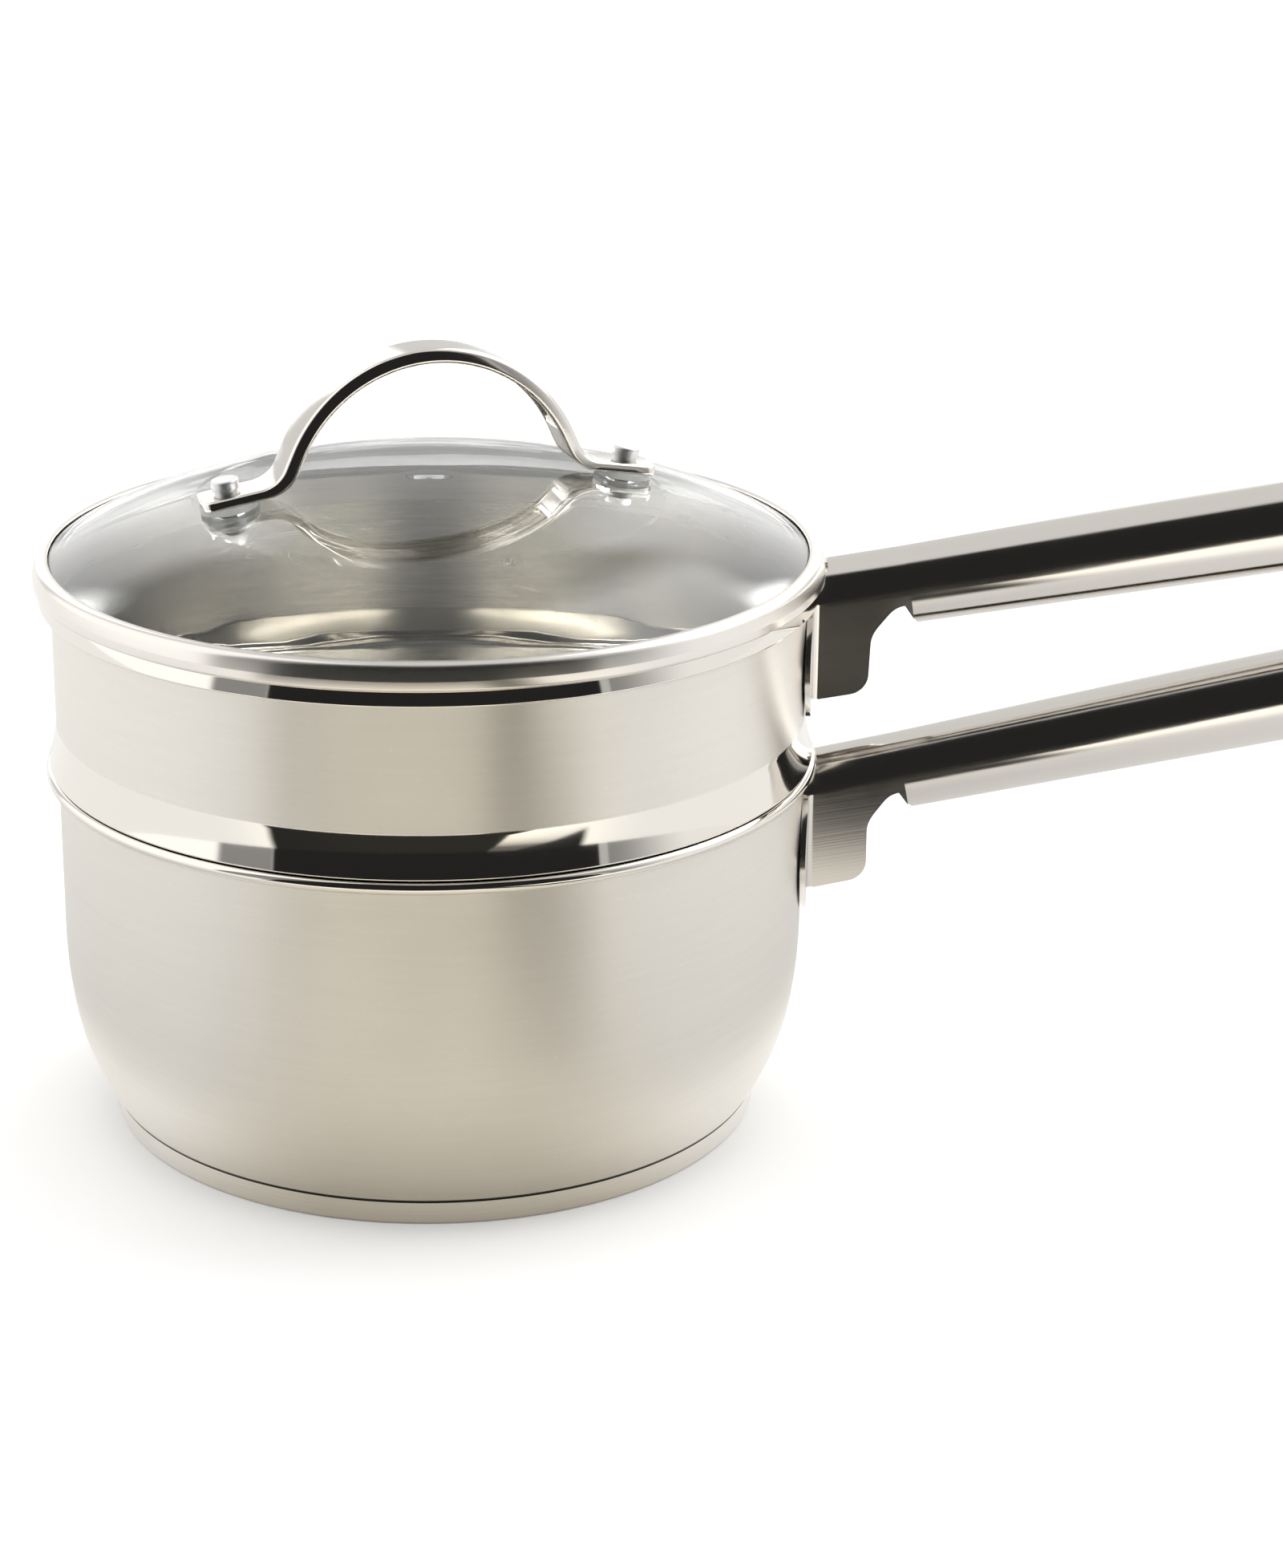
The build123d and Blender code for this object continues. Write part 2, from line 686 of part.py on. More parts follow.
os.makedirs("parts", exist_ok=True)
for node, shape in nodes.items():
    export_step(shape, f"parts/{node}.step")
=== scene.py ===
from math import acos, asin, atan2, cos, hypot, pi, radians, sin, tan

import bmesh
import bpy
from mathutils import Matrix, Vector


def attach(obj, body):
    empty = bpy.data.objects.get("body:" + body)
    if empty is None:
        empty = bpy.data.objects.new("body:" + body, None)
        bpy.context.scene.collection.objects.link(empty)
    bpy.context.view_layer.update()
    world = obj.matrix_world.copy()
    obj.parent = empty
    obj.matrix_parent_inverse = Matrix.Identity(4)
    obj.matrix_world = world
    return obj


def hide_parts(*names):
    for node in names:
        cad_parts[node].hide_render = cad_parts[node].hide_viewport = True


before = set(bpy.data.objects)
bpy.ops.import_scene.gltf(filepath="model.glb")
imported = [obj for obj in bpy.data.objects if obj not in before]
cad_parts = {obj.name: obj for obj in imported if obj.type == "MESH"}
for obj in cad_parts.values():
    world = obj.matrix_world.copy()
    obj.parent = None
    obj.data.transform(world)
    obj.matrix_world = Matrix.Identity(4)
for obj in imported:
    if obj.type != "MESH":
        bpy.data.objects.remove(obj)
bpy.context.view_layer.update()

# Saucepan body. A pot drawn from one stainless sheet. Its wall has a satin finish, spun round by a
# belt, with faint glints painted on as bright specks, its rolled rim is polished, and the marks inside
# are a little coarser. Its inner faces are painted darker as shade, and the groove over the base is
# painted dark as shade.
millimetre = 0.001
crease = radians(40)


def put(tree, kind, inputs, **settings):
    """A shader node: settings are its options, and an input is a plain value or the socket it comes from."""
    node = tree.nodes.new("ShaderNode" + kind)
    for option, value in settings.items():
        setattr(node, option, value)
    for name, value in inputs.items():
        if isinstance(value, bpy.types.NodeSocket):
            tree.links.new(value, node.inputs[name])
        else:
            node.inputs[name].default_value = value
    return node


def placed(tree, group, inputs):
    """The outputs of a node group that is placed in a tree with its own values."""
    return put(tree, "Group", inputs, node_tree=group).outputs


def maths(tree, operation, *values):
    """The result of one sum on numbers or sockets."""
    return put(tree, "Math", dict(enumerate(values)), operation=operation).outputs[0]


def ramp(tree, value, low, high, to_low=0.0, to_high=1.0):
    """A smooth step of a value from one level to another."""
    steps = {"Value": value, "From Min": low, "From Max": high, "To Min": to_low, "To Max": to_high}
    return put(tree, "MapRange", steps, interpolation_type="SMOOTHSTEP").outputs["Result"]


def between(tree, value, low, high, soft):
    """One inside a range, nought outside it, with soft edges."""
    above = ramp(tree, value, low - soft, low + soft)
    below = ramp(tree, value, high + soft, high - soft)
    return maths(tree, "MULTIPLY", above, below)


def vary(tree, mask, amount, level):
    """A level that a mask moves up and down by an amount. The middle of a mask is a half."""
    return maths(tree, "MULTIPLY_ADD", maths(tree, "SUBTRACT", mask, 0.5), amount, level)


def blend_level(tree, mask, level, other):
    """A number that turns into another where a mask is one."""
    return put(tree, "Mix", {0: mask, 2: level, 3: other}).outputs[0]


def blend_colour(tree, mask, colour, other):
    """A colour that turns into another where a mask is one."""
    return put(tree, "Mix", {0: mask, 6: colour, 7: other}, data_type="RGBA").outputs[2]


def shaded(tree, colour, level):
    """A colour times a level."""
    grey = put(tree, "CombineColor", {0: level, 1: level, 2: level}).outputs[0]
    return put(tree, "Mix", {0: 1.0, 6: colour, 7: grey}, data_type="RGBA", blend_type="MULTIPLY").outputs[2]


def new_group(name, inputs, outputs):
    """An empty node group with named number or vector sockets: (tree, its inputs, its end node)."""
    tree = bpy.data.node_groups.new(name, "ShaderNodeTree")
    for label, value in inputs.items():
        kind = "NodeSocketVector" if isinstance(value, tuple) else "NodeSocketFloat"
        tree.interface.new_socket(label, in_out="INPUT", socket_type=kind).default_value = value
    for label, kind in outputs.items():
        tree.interface.new_socket(label, in_out="OUTPUT", socket_type="NodeSocket" + kind)
    return tree, tree.nodes.new("NodeGroupInput").outputs, tree.nodes.new("NodeGroupOutput")


def give(tree, end, results):
    """Link a group's results to its named outputs."""
    for label, socket in results.items():
        tree.links.new(socket, end.inputs[label])


def new_material(name):
    """A material with an empty Principled shader: (material, its tree, the shader)."""
    material = bpy.data.materials.new(name)
    material.use_nodes = True
    return material, material.node_tree, material.node_tree.nodes["Principled BSDF"]


def wire(tree, shader, sockets, numbers):
    """Link sockets to the shader, and set plain numbers on it."""
    for name, socket in sockets.items():
        tree.links.new(socket, shader.inputs[name])
    for name, value in numbers.items():
        shader.inputs[name].default_value = value


def dress(nodes, material):
    """Give modelled pieces their material."""
    for node in nodes:
        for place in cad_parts[node].material_slots:
            place.material = material


# Where a point lies on a turned piece: its radius and height, which way round it is, and whether the
# surface there faces away from the axis.
tree, _, end = new_group("turned_place", {}, {
    "Radius": "Float", "Height": "Float", "Around": "Vector", "Outward": "Float"})
place = put(tree, "TexCoord", {})
spot = put(tree, "SeparateXYZ", {0: place.outputs["Object"]}).outputs
flat = put(tree, "CombineXYZ", {0: spot[0], 1: spot[1]}).outputs[0]
around = put(tree, "VectorMath", {0: flat}, operation="NORMALIZE").outputs["Vector"]
length = put(tree, "VectorMath", {0: flat}, operation="LENGTH").outputs["Value"]
facing = put(tree, "VectorMath", {0: around, 1: place.outputs["Normal"]}, operation="DOT_PRODUCT")
give(tree, end, {"Radius": length, "Height": spot[2], "Around": around, "Outward": facing.outputs["Value"]})
turned_place = tree

# Marks of a belt or brush on a turned piece: short streaks that run round the axis.
tree, given, end = new_group("turned_brushing", {"Streaks Per Metre": 3000.0, "Streak Breaks": 5.0},
                             {"Streak": "Float"})
where = placed(tree, turned_place, {})
run = put(tree, "VectorMath", {0: where["Around"], "Scale": given["Streak Breaks"]}, operation="SCALE")
run = put(tree, "SeparateXYZ", {0: run.outputs[0]}).outputs
across = maths(tree, "MULTIPLY", where["Radius"], given["Streaks Per Metre"])
up = maths(tree, "MULTIPLY", where["Height"], given["Streaks Per Metre"])
grid = put(tree, "CombineXYZ", {0: run[0], 1: run[1], 2: across}).outputs[0]
streak = put(tree, "TexNoise", {"Vector": grid, "W": up, "Scale": 1.0, "Detail": 3.0, "Roughness": 0.65},
             noise_dimensions="4D")
give(tree, end, {"Streak": streak.outputs["Fac"]})
turned_brushing = tree

# Soft patches, as handling and polishing leave them on metal and glass.
tree, given, end = new_group("soft_patches", {"Patch Size": 0.03, "Contrast": 1.0}, {"Patch": "Float"})
place = put(tree, "TexCoord", {}).outputs["Object"]
size = maths(tree, "DIVIDE", 1.0, given["Patch Size"])
cloud = put(tree, "TexNoise", {"Vector": place, "Scale": size, "Detail": 2.0, "Roughness": 0.5})
give(tree, end, {"Patch": vary(tree, cloud.outputs["Fac"], given["Contrast"], 0.5)})
soft_patches = tree

# Painted glints: fine specks painted brighter, where rolled satin sheet would catch the light. A speck's
# edge and bright core are shares of its cell.
speck_edge_share = 0.35
speck_core_share = 0.1
tree, given, end = new_group("painted_glint_specks", {"Speck Size": 0.0012, "Share": 0.1}, {"Speck": "Float"})
place = put(tree, "TexCoord", {}).outputs["Object"]
cells = put(tree, "TexVoronoi", {"Vector": place, "Scale": maths(tree, "DIVIDE", 1.0, given["Speck Size"])})
chance = put(tree, "SeparateColor", {0: cells.outputs["Color"]}).outputs[0]
lit = maths(tree, "LESS_THAN", chance, given["Share"])
round_speck = ramp(tree, cells.outputs["Distance"], speck_edge_share, speck_core_share)
give(tree, end, {"Speck": maths(tree, "MULTIPLY", lit, round_speck)})
painted_glint_specks = tree


def painted_seam_shade(tree, height, seam):
    """How bright a turned piece is, in and outside a seam painted dark as shade, which is (lowest, highest).
    """
    seam_edge = 0.0001
    painted_seam_darkness = 0.92
    dark = between(tree, height, seam[0], seam[1], seam_edge)
    return maths(tree, "SUBTRACT", 1.0, maths(tree, "MULTIPLY", dark, painted_seam_darkness))


def turned_steel(name, polished_zones, inner_rough, outer_rough, colour, polish_rough=0.05, seam=None):
    """Steel turned about the pot's axis. A polished zone is (lowest, highest, lowest radius) of a ring."""
    height_edge, radius_edge, facing_edge = 0.0003, 0.0002, 0.2
    inner_marks, outer_marks = 0.40, 0.07
    inner_painted_shade, painted_glint_level, rough_play = 0.74, 0.05, 0.1
    broad_relief, inner_relief = 0.6, 2.5
    material, tree, shader = new_material(name)
    where = placed(tree, turned_place, {})
    fine = placed(tree, turned_brushing, {"Streaks Per Metre": 4200.0, "Streak Breaks": 7.0})[0]
    broad = placed(tree, turned_brushing, {"Streaks Per Metre": 700.0, "Streak Breaks": 3.0})[0]
    patch = placed(tree, soft_patches, {"Patch Size": 0.045, "Contrast": 1.2})[0]
    speck = placed(tree, painted_glint_specks, {"Speck Size": 0.0011, "Share": 0.08})[0]
    outside = ramp(tree, where["Outward"], -facing_edge, facing_edge)
    polished = 0.0
    for low, high, radius in polished_zones:
        level_with = between(tree, where["Height"], low, high, height_edge)
        beyond = ramp(tree, where["Radius"], radius - radius_edge, radius + radius_edge)
        polished = maths(tree, "MAXIMUM", polished, maths(tree, "MULTIPLY", level_with, beyond))
    satin = maths(tree, "SUBTRACT", 1.0, polished)
    rough = blend_level(tree, outside, inner_rough, outer_rough)
    rough = vary(tree, patch, rough_play, rough)
    rough = vary(tree, fine, rough_play, rough)
    rough = blend_level(tree, polished, rough, polish_rough)
    marks = blend_level(tree, outside, inner_marks, outer_marks)
    shade = vary(tree, broad, marks, 1.0)
    shade = vary(tree, fine, marks, shade)
    # Painted glint: the specks make the outer faces brighter in small spots.
    shade = maths(tree, "MULTIPLY_ADD", maths(tree, "MULTIPLY", speck, outside), painted_glint_level, shade)
    # Painted shade: the inner faces are painted darker, as the shade inside a pot.
    shade = maths(tree, "MULTIPLY", shade, blend_level(tree, outside, inner_painted_shade, 1.0))
    shade = blend_level(tree, polished, shade, 1.0)
    # Painted shade: where a seam is given, its band of heights is painted dark.
    if seam:
        shade = maths(tree, "MULTIPLY", shade, painted_seam_shade(tree, where["Height"], seam))
    depth = maths(tree, "MULTIPLY_ADD", broad, broad_relief, fine)
    depth = maths(tree, "MULTIPLY", depth, blend_level(tree, outside, inner_relief, 1.0))
    relief = put(tree, "Bump", {"Height": maths(tree, "MULTIPLY", depth, satin), "Strength": 0.13,
                                "Distance": 0.00006}).outputs[0]
    around = put(tree, "Tangent", {}, direction_type="RADIAL", axis="Z").outputs[0]
    wire(tree, shader,
         {"Base Color": shaded(tree, colour, shade), "Roughness": rough, "Normal": relief, "Tangent": around},
         {"Metallic": 1.0, "Anisotropic": 0.65, "Anisotropic Rotation": 0.25})
    return material


def rounded(corners, step=radians(7), longest_chord=2.5):
    """A side view with round corners, in millimetres: each corner is (radius, height, bend)."""
    points = []
    for i, (r, z, bend) in enumerate(corners):
        if not bend or i in (0, len(corners) - 1):
            points.append((r, z))
            continue
        back = (corners[i - 1][0] - r, corners[i - 1][1] - z)
        ahead = (corners[i + 1][0] - r, corners[i + 1][1] - z)
        back = (back[0] / hypot(*back), back[1] / hypot(*back))
        ahead = (ahead[0] / hypot(*ahead), ahead[1] / hypot(*ahead))
        half = acos(max(-1.0, min(1.0, back[0] * ahead[0] + back[1] * ahead[1]))) / 2
        middle = (back[0] + ahead[0], back[1] + ahead[1])
        reach = bend / sin(half) / hypot(*middle)
        centre = (r + middle[0] * reach, z + middle[1] * reach)
        start = atan2(z + back[1] * bend / tan(half) - centre[1], r + back[0] * bend / tan(half) - centre[0])
        end = atan2(z + ahead[1] * bend / tan(half) - centre[1], r + ahead[0] * bend / tan(half) - centre[0])
        sweep = (end - start + pi) % (2 * pi) - pi
        count = max(2, round(abs(sweep) / step), round(abs(sweep) * bend / longest_chord))
        points += [(centre[0] + bend * cos(start + sweep * k / count),
                    centre[1] + bend * sin(start + sweep * k / count)) for k in range(count + 1)]
    return points


def rolled_rim(wall_out, wall_in, rim_out, top, radius, roll_steps=20, inner_steps=6):
    """A rim rolled outwards, from the wall's outer face round to its inner face."""
    centre, middle = rim_out - radius, top - radius
    start = -acos((wall_out - centre) / radius)
    turns = [start + (pi / 2 - start) * k / roll_steps for k in range(roll_steps + 1)]
    points = [(centre + radius * cos(turn), middle + radius * sin(turn)) for turn in turns]
    turns = [pi / 2 * k / inner_steps for k in range(1, inner_steps + 1)]
    return points + [(centre - (centre - wall_in) * sin(turn), middle + radius * cos(turn)) for turn in turns]


def lathe(name, body, node, outline, material, segments=288):
    """Turn a closed side view, in millimetres, about the pot's axis. It stands for a modelled piece."""
    rings, verts = [], []
    for r, z in outline:
        if r == 0:
            rings.append([len(verts)] * segments)
            verts.append((0, 0, z * millimetre))
            continue
        rings.append(list(range(len(verts), len(verts) + segments)))
        verts += [(r * millimetre * cos(2 * pi * k / segments), r * millimetre * sin(2 * pi * k / segments),
                   z * millimetre) for k in range(segments)]
    faces = []
    for low, high in zip(rings, rings[1:] + rings[:1]):
        for k in range(segments):
            n = (k + 1) % segments
            corners = list(dict.fromkeys((low[k], low[n], high[n], high[k])))
            if len(corners) > 2:
                faces.append(corners)
    mesh = bpy.data.meshes.new(name)
    mesh.from_pydata(verts, [], faces)
    mesh.shade_smooth()
    mesh.set_sharp_from_angle(angle=crease)
    mesh.materials.append(material)
    piece = bpy.data.objects.new(name, mesh)
    bpy.context.scene.collection.objects.link(piece)
    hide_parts(node)
    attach(piece, body)


satin_colour = (0.80, 0.77, 0.715, 1.0)
pan_rim_zone = (84.4 * millimetre, 90.0 * millimetre, 88.0 * millimetre)
# Painted shade: the groove between the base cup and the pan is painted dark over these heights.
painted_shade_seam = (5.75 * millimetre, 6.6 * millimetre)
saucepan_steel = turned_steel("saucepan_satin_steel", [pan_rim_zone], inner_rough=0.38, outer_rough=0.37,
                              colour=satin_colour, seam=painted_shade_seam)
pan_sheet = 0.8
pan_floor = 6.0
pan_foot = 78.1
pan_wall = 88.1
pan_wall_end = 80.0
pan_rim = 90.9
pan_top = 87.6
pan_roll = 1.5
pan_wall_in = pan_wall - pan_sheet
pan_floor_in = pan_floor + pan_sheet
foot_out = (pan_foot, pan_floor, 1)
foot_in = (77.55, pan_floor_in, 5)
belly_out = (84.70, 16.42, 59)
belly_in = (83.95, 16.74, 57)
shoulder_out = (pan_wall, 37.64, 114)
shoulder_in = (pan_wall_in, 37.69, 113)
pan_outline = rounded([(0, pan_floor, 0), foot_out, belly_out, shoulder_out, (pan_wall, pan_wall_end, 0)])
pan_outline += rolled_rim(pan_wall, pan_wall_in, pan_rim, pan_top, pan_roll)
pan_outline += rounded([(pan_wall_in, pan_wall_end, 0), shoulder_in, belly_in, foot_in, (0, pan_floor_in, 0)])
lathe("saucepan", "saucepan", "saucepan_body", pan_outline, saucepan_steel)

# Base. An aluminium disc carries the heat and a steel cup is pressed over it. The cup's side is satin,
# its underside has the rings of the lathe, and the seam under the pot is painted dark as shade. The disc
# is hidden.


def lathe_metal(name, colour, rings_per_metre, rough, depth, seam=None):
    """Metal faced on a lathe, with fine rings round the pot's axis."""
    ring_shade, patch_shade, ring_rough = 0.25, 0.08, 0.15
    material, tree, shader = new_material(name)
    rings = placed(tree, turned_brushing, {"Streaks Per Metre": rings_per_metre, "Streak Breaks": 1.5})[0]
    patch = placed(tree, soft_patches, {"Patch Size": 0.03, "Contrast": 1.5})[0]
    level = vary(tree, rings, ring_shade, 1.0)
    level = vary(tree, patch, patch_shade, level)
    # Painted shade: where a seam is given, its band of heights is painted dark.
    if seam:
        height = placed(tree, turned_place, {})["Height"]
        level = maths(tree, "MULTIPLY", level, painted_seam_shade(tree, height, seam))
    rough = vary(tree, rings, ring_rough, rough)
    relief = put(tree, "Bump", {"Height": rings, "Strength": 0.3, "Distance": depth}).outputs[0]
    wire(tree, shader, {"Base Color": shaded(tree, colour, level), "Roughness": rough, "Normal": relief},
         {"Metallic": 1.0})
    return material


cup_colour = (0.82, 0.79, 0.74, 1.0)
aluminium_colour = (0.86, 0.87, 0.88, 1.0)
base_cup_steel = lathe_metal("base_cup_steel", cup_colour, rings_per_metre=2600.0, rough=0.2, depth=0.00003,
                             seam=painted_shade_seam)
base_aluminium = lathe_metal("base_aluminium", aluminium_colour, rings_per_metre=1800.0, rough=0.4,
                             depth=0.00008)
cup_sheet = 0.6
cup_foot = 77.4
cup_foot_out = (cup_foot, 0, 1.4)
cup_foot_in = (cup_foot - cup_sheet, cup_sheet, 0.8)
cup_brim_out = (pan_foot, pan_floor, 0.2)
cup_brim_in = (pan_foot - cup_sheet, pan_floor, 0)
base_cup_outline = rounded([(0, 0, 0), cup_foot_out, cup_brim_out, cup_brim_in, cup_foot_in,
                            (0, cup_sheet, 0)])
lathe("base_cup", "saucepan", "base_capsule", base_cup_outline, base_cup_steel)
dress(["base_core"], base_aluminium)

# Insert body. The upper pot, drawn from one sheet. Its wall is satin like the saucepan's, the cove that
# rests on the saucepan and the lip at its mouth are polished, and the inside is brushed and painted
# darker as shade.
cove_zone = (86.9 * millimetre, 97.9 * millimetre, 87.0 * millimetre)
lip_zone = (126.7 * millimetre, 133.0 * millimetre, 88.1 * millimetre)
insert_steel = turned_steel("insert_satin_steel", [cove_zone, lip_zone], inner_rough=0.25, outer_rough=0.37,
                            colour=satin_colour)
insert_sheet = 0.7
insert_floor = 42.0
insert_floor_in = insert_floor + insert_sheet
insert_seat = 87.9
insert_seat_in = insert_seat + insert_sheet
insert_wall = 88.2
insert_wall_in = insert_wall - insert_sheet
insert_top = 131.0
bowl_foot_out = (83.0, insert_floor, 20)
bowl_foot_in = (82.35, insert_floor_in, 19.3)
seat_root_out = (86.3, insert_seat, 0.8)
seat_root_in = (85.65, insert_seat_in, 1.5)
seat_edge_out = (90.2, insert_seat, 0.35)
seat_edge_in = (89.31, insert_seat_in, 0.3)
cove_out = (88.78, 92.78, 52)
cove_in = (88.09, 92.63, 53)
cove_top_out = (insert_wall, 97.9, 9)
cove_top_in = (insert_wall_in, 97.86, 9.7)
lip_root = (insert_wall, 127.2, 0.5)
lip_edge = (91.2, 127.4, 0.4)
lip_crown = (90.3, insert_top, 0.6)
mouth = (insert_wall_in, insert_top, 1)
insert_outline = rounded([
    (0, insert_floor, 0), bowl_foot_out, seat_root_out, seat_edge_out, cove_out, cove_top_out, lip_root,
    lip_edge, lip_crown, mouth, cove_top_in, cove_in, seat_edge_in, seat_root_in, bowl_foot_in,
    (0, insert_floor_in, 0)])
lathe("insert", "insert", "insert_body", insert_outline, insert_steel)

# Long handles. Each is one steel pressing: flanges welded to the wall, a neck with two cheeks, and a
# seamed tube that is pressed flat at its end. It is polished, with faint marks along the tube.
tree, given, end = new_group("rubbed_marks", {"Along": (1.0, 0.0, 0.0), "Marks Per Metre": 2500.0,
                                              "Stretch": 0.03}, {"Mark": "Float"})
place = put(tree, "TexCoord", {}).outputs["Object"]
full = put(tree, "VectorMath", {0: place, "Scale": given["Marks Per Metre"]}, operation="SCALE").outputs[0]
run = put(tree, "VectorMath", {0: full, 1: given["Along"]}, operation="DOT_PRODUCT").outputs["Value"]
cut = maths(tree, "MULTIPLY", run, maths(tree, "SUBTRACT", given["Stretch"], 1.0))
pull = put(tree, "VectorMath", {0: given["Along"], "Scale": cut}, operation="SCALE").outputs[0]
grid = put(tree, "VectorMath", {0: full, 1: pull}, operation="ADD").outputs[0]
mark = put(tree, "TexNoise", {"Vector": grid, "Scale": 1.0, "Detail": 2.0, "Roughness": 0.6})
give(tree, end, {"Mark": mark.outputs["Fac"]})
rubbed_marks = tree


def polished_steel(name, along, rough, mark_depth, colour):
    """Polished steel with faint marks along one direction and the soft patches of handling."""
    play = 0.05
    material, tree, shader = new_material(name)
    mark = placed(tree, rubbed_marks, {"Along": along, "Marks Per Metre": 2200.0, "Stretch": 0.02})[0]
    patch = placed(tree, soft_patches, {"Patch Size": 0.02, "Contrast": 1.6})[0]
    tint = shaded(tree, colour, vary(tree, mark, play, 1.0))
    rough = vary(tree, patch, play, rough)
    rough = vary(tree, mark, play, rough)
    relief = put(tree, "Bump", {"Height": mark, "Strength": 0.2, "Distance": mark_depth}).outputs[0]
    wire(tree, shader, {"Base Color": tint, "Roughness": rough, "Normal": relief}, {"Metallic": 1.0})
    return material


polish_colour = (0.80, 0.765, 0.72, 1.0)
along_tube = (1.0, 0.0, 0.15)
handle_steel = polished_steel("handle_steel", along_tube, rough=0.12, mark_depth=0.00002,
                              colour=polish_colour)
dress(["saucepan_handle", "insert_handle"], handle_steel)

# Lid glass. A dome of tempered soda glass, 4 mm thick, drilled for two rivets. It is clear, with a faint
# green in its depth, and it has the slight waves that tempering leaves.
glass_colour = (0.98, 0.995, 0.985, 1.0)
smear_from = 0.5
smear_full = 0.9
smear_rough = 0.03
glass_material, tree, shader = new_material("tempered_glass")
patch = placed(tree, soft_patches, {"Patch Size": 0.05, "Contrast": 1.0})[0]
wave = put(tree, "Bump", {"Height": patch, "Strength": 0.15, "Distance": 0.0004}).outputs[0]
smear = ramp(tree, patch, smear_from, smear_full, 0.0, smear_rough)
wire(tree, shader, {"Normal": wave, "Roughness": smear},
     {"Base Color": glass_colour, "IOR": 1.5, "Transmission Weight": 1.0})
dress(["lid_glass"], glass_material)

# Lid band. A strip of thin steel rolled round the glass, with a flange that seats on the insert's rim
# and a skirt inside it. The strip is polished, and its skirt is satin. Its inward faces are painted
# darker as shade.
whole_height = 1.0
beyond_skirt = (0.0, whole_height, 87.4 * millimetre)
band_steel = turned_steel("band_steel", [beyond_skirt], inner_rough=0.30, outer_rough=0.30,
                          colour=polish_colour, polish_rough=0.24)
band_sheet = 0.6
skirt_in = 86.2
skirt_out = skirt_in + band_sheet
skirt_low = 124.6
flange_low = 131.3
flange_high = flange_low + band_sheet
band_out = 92.1
band_lip = 88.4
band_top = 137.2
band_top_in = band_top - band_sheet
band_shoulder = (band_out, 133.5, 0.8)
band_crown_out = (91.2, band_top, 2)
band_crown_in = (90.7, band_top_in, 1.4)
band_heel_in = (91.9, flange_high, 1)
band_outline = rounded([
    (skirt_in, skirt_low, 0.2), (skirt_out, skirt_low, 0.2), (skirt_out, flange_low, 0.4),
    (band_out, flange_low, 0.6), band_shoulder, band_crown_out, (band_lip, band_top, 0.25),
    (band_lip, band_top_in, 0.25), band_crown_in, band_heel_in, (skirt_in, flange_high, 0.5)])
lathe("band", "lid", "lid_band", band_outline, band_steel)

# Lid handle. A steel strap pressed to a shallow channel under its arch, with flat legs and tabs, and
# riveted through the glass at both tabs. It is polished.
strap_turn = radians(16.1)
strap_arch = 37.0
strap_depth = 3.2
strap_lean = radians(66.0)
strap_half_width = 6.2
strap_corner = 2.2
strap_tab = 2.15
strap_heel = 7.0
tab_reach = 6.2
arch_centre = 147.60
dome_radius = 300.0
dome_top = 153.70
dome_centre = dome_top - dome_radius
seal_height = 1.6
rivet_reach = 47.4
rivet_tilt = asin(rivet_reach / dome_radius)
arch_steps = 36
leg_steps = 4
heel_steps = 12
tab_steps = 4
corner_steps = 6


def strap_line(arch, height, bend):
    """Half of one long side of the strap, from its apex down the leg and out along the tab."""
    reach = dome_radius + height
    tab = (reach * sin(rivet_tilt), dome_centre + reach * cos(rivet_tilt))
    start = (arch * sin(strap_lean), arch_centre + arch * cos(strap_lean))
    drop = (start[1] - tab[1]) * cos(rivet_tilt) + (start[0] - tab[0]) * sin(rivet_tilt)
    step = drop / sin(strap_lean - rivet_tilt)
    heel = (start[0] + step * cos(strap_lean), start[1] - step * sin(strap_lean))
    back = bend * tan((strap_lean - rivet_tilt) / 2)
    low = (heel[0] - back * cos(strap_lean), heel[1] + back * sin(strap_lean))
    out = (heel[0] + back * cos(rivet_tilt), heel[1] - back * sin(rivet_tilt))
    middle = (out[0] + bend * sin(rivet_tilt), out[1] + bend * cos(rivet_tilt))
    points = []
    for k in range(arch_steps + 1):
        angle = strap_lean * k / arch_steps
        points.append((arch * sin(angle), arch_centre + arch * cos(angle)))
    for k in range(1, leg_steps):
        share = k / leg_steps
        points.append((start[0] + (low[0] - start[0]) * share, start[1] + (low[1] - start[1]) * share))
    for k in range(heel_steps + 1):
        angle = strap_lean + (rivet_tilt - strap_lean) * k / heel_steps
        points.append((middle[0] - bend * sin(angle), middle[1] - bend * cos(angle)))
    flat = hypot(tab[0] - out[0], tab[1] - out[1]) + tab_reach
    corner = strap_corner / flat
    stops = [(1 - corner) * k / tab_steps for k in range(1, tab_steps + 1)]
    stops += [1 - corner * (1 - sin(pi / 2 * k / corner_steps)) for k in range(1, corner_steps + 1)]
    points += [(out[0] + flat * cos(rivet_tilt) * s, out[1] - flat * sin(rivet_tilt) * s) for s in stops]
    return points


top_line = strap_line(strap_arch, seal_height + strap_tab, strap_heel)
low_line = strap_line(strap_arch - strap_depth, seal_height, strap_heel + strap_tab)
channel_depth = 1.4
channel_side = 4.25
channel_floor = 1.0
channel_end = 34
channel_fade = 2
strap_shoulder = (5.35, 0, 1.3)
strap_side = (strap_half_width, 2.5, 1.1)
strap_edge = (6.05, strap_depth, 0.35)
channel_edge = (4.3, strap_depth, 0.3)
channel_root = (4.0, channel_depth, 0.5)
section_step = radians(12)
half_section = rounded([(0, 0, 0), strap_shoulder, strap_side, strap_edge, channel_edge, channel_root,
                        (0, channel_depth, 0)], section_step)
section = half_section + [(-y, depth) for y, depth in reversed(half_section[1:-1])]
stations = list(zip(top_line, low_line, range(len(top_line))))
stations = [((-a[0], a[1]), (-b[0], b[1]), k) for a, b, k in reversed(stations[1:])] + stations
verts = []
